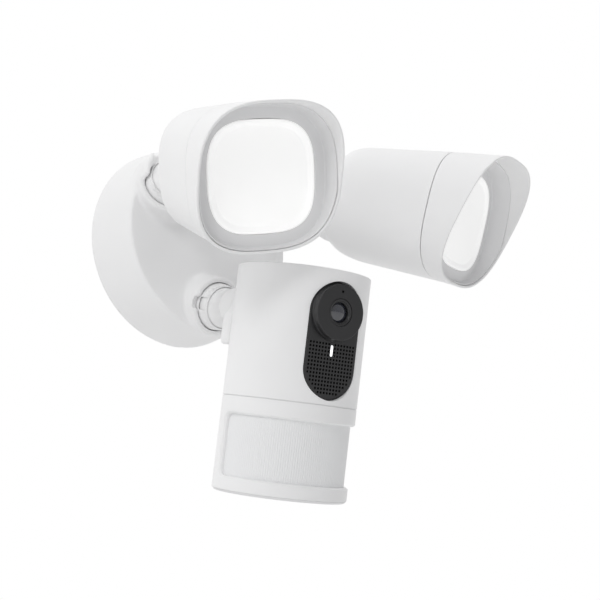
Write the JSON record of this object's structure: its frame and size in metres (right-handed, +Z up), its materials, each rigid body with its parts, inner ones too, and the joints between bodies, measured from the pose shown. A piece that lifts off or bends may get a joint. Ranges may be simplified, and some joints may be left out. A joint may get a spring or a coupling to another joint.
{
  "type": "floodlight security camera",
  "caption": "Wall floodlight security camera: round canopy with ball joints that carry hooded LED lamps and a cylindrical camera with a motion-sensor window.",
  "frame": {"origin": "centre of the canopy on the wall plane", "axes": "+Y goes into the wall, -Y is the front, +Z is up, +X is to the right seen from the front"},
  "size_m": [0.2416, 0.2201, 0.24],
  "materials": {
    "shell_white": "satin white moulding",
    "trim_grey": "fine matte",
    "seal_black": "matte",
    "plated_steel": "zinc plated",
    "heat_sink_alloy": "extruded",
    "circuit_board": "solder mask",
    "component_grey": "matte",
    "friction_liner": "matte",
    "led_board_white": "matte",
    "led_phosphor": "matte",
    "diffuser_white": "lit opal",
    "plate_black": "satin black",
    "lens_glass": "coated",
    "window_plastic": "fine ribs",
    "light_pipe": "lit"
  },
  "bodies": {
    "base": {"wall_gasket": "trim_grey", "canopy": "shell_white", "rear_plate": "trim_grey", "cable_grommet": "seal_black", "mounting_bracket": "plated_steel", "canopy_screw": "plated_steel", "terminal_block": "trim_grey", "driver_board": "circuit_board", "driver_parts": "component_grey"},
    "left_clamp": {"left_collar": "shell_white"},
    "left_swivel": {"left_friction_pad": "friction_liner"},
    "left_arm": {"left_ball_arm": "shell_white"},
    "left_lamp": {"left_neck": "shell_white", "left_rear_housing": "shell_white", "left_hood": "shell_white", "left_seal": "seal_black", "left_bezel": "trim_grey", "left_diffuser": "diffuser_white", "left_led_board": "led_board_white", "left_leds": "led_phosphor", "left_heat_sink": "heat_sink_alloy", "left_board_screws": "plated_steel"},
    "right_clamp": {"right_collar": "shell_white"},
    "right_swivel": {"right_friction_pad": "friction_liner"},
    "right_arm": {"right_ball_arm": "shell_white"},
    "right_lamp": {"right_neck": "shell_white", "right_rear_housing": "shell_white", "right_hood": "shell_white", "right_seal": "seal_black", "right_bezel": "trim_grey", "right_diffuser": "diffuser_white", "right_led_board": "led_board_white", "right_leds": "led_phosphor", "right_heat_sink": "heat_sink_alloy", "right_board_screws": "plated_steel"},
    "camera_clamp": {"camera_collar": "shell_white"},
    "camera_swivel": {"camera_friction_pad": "friction_liner"},
    "camera_arm": {"camera_ball_arm": "shell_white"},
    "camera_head": {"camera_dock": "shell_white", "dock_screws": "plated_steel", "camera_shell": "shell_white", "joint_seal": "trim_grey", "sensor_housing": "shell_white", "bottom_cap": "trim_grey", "motion_lens": "window_plastic", "motion_board": "circuit_board", "motion_sensors": "plated_steel", "front_plate": "plate_black", "lens_housing": "plate_black", "lens_trim": "plate_black", "lens_glass": "lens_glass", "image_board": "circuit_board", "status_light": "light_pipe", "microphone": "plated_steel", "speaker": "component_grey", "main_board": "circuit_board"},
    "camera_button": {"pairing_button": "component_grey"}
  },
  "joints": [
    {"name": "left_clamp_turn", "type": "hinge", "parent": "base", "child": "left_clamp", "pos_m": [-0.04114, -0.049, 0.02375], "axis": [-0.2532, -0.9563, 0.1462], "range_deg": [-60, 60]},
    {"name": "left_swivel_turn", "type": "hinge", "parent": "base", "child": "left_swivel", "pos_m": [-0.04114, -0.049, 0.02375], "axis": [-0.2532, -0.9563, 0.1462], "range_deg": [-30, 20]},
    {"name": "left_arm_tilt", "type": "hinge", "parent": "left_swivel", "child": "left_arm", "pos_m": [-0.04114, -0.049, 0.02375], "axis": [0.9513, -0.2186, 0.2174], "range_deg": [-55, 3]},
    {"name": "left_lamp_twist", "type": "hinge", "parent": "left_arm", "child": "left_lamp", "pos_m": [-0.04114, -0.049, 0.02375], "axis": [-0.1325, -0.9265, -0.3522], "range_deg": [-25, 25]},
    {"name": "right_clamp_turn", "type": "hinge", "parent": "base", "child": "right_clamp", "pos_m": [0.04114, -0.049, 0.02375], "axis": [0.2532, -0.9563, 0.1462], "range_deg": [-60, 60]},
    {"name": "right_swivel_turn", "type": "hinge", "parent": "base", "child": "right_swivel", "pos_m": [0.04114, -0.049, 0.02375], "axis": [0.2532, -0.9563, 0.1462], "range_deg": [-20, 30]},
    {"name": "right_arm_tilt", "type": "hinge", "parent": "right_swivel", "child": "right_arm", "pos_m": [0.04114, -0.049, 0.02375], "axis": [0.9624, 0.2336, -0.1385], "range_deg": [-50, 8]},
    {"name": "right_lamp_twist", "type": "hinge", "parent": "right_arm", "child": "right_lamp", "pos_m": [0.04114, -0.049, 0.02375], "axis": [0.1843, -0.9363, -0.2988], "range_deg": [-25, 25]},
    {"name": "camera_clamp_turn", "type": "hinge", "parent": "base", "child": "camera_clamp", "pos_m": [0, -0.049, -0.0475], "axis": [0, -0.9563, -0.2924], "range_deg": [-60, 60]},
    {"name": "camera_pan", "type": "hinge", "parent": "base", "child": "camera_swivel", "pos_m": [0, -0.049, -0.0475], "axis": [0, 0, 1], "range_deg": [-10, 18]},
    {"name": "camera_tilt", "type": "hinge", "parent": "camera_swivel", "child": "camera_arm", "pos_m": [0, -0.049, -0.0475], "axis": [0.9936, -0.1132, 0], "range_deg": [-3, 25]},
    {"name": "camera_roll", "type": "hinge", "parent": "camera_arm", "child": "camera_head", "pos_m": [0, -0.049, -0.0475], "axis": [-0.1111, -0.9753, -0.1908], "range_deg": [-15, 15]},
    {"name": "pairing_press", "type": "slide", "parent": "camera_head", "child": "camera_button", "axis": [-0.1111, -0.9753, -0.1908], "range_m": [0, 0.0012], "stiffness_N_per_m": 400}
  ]
}
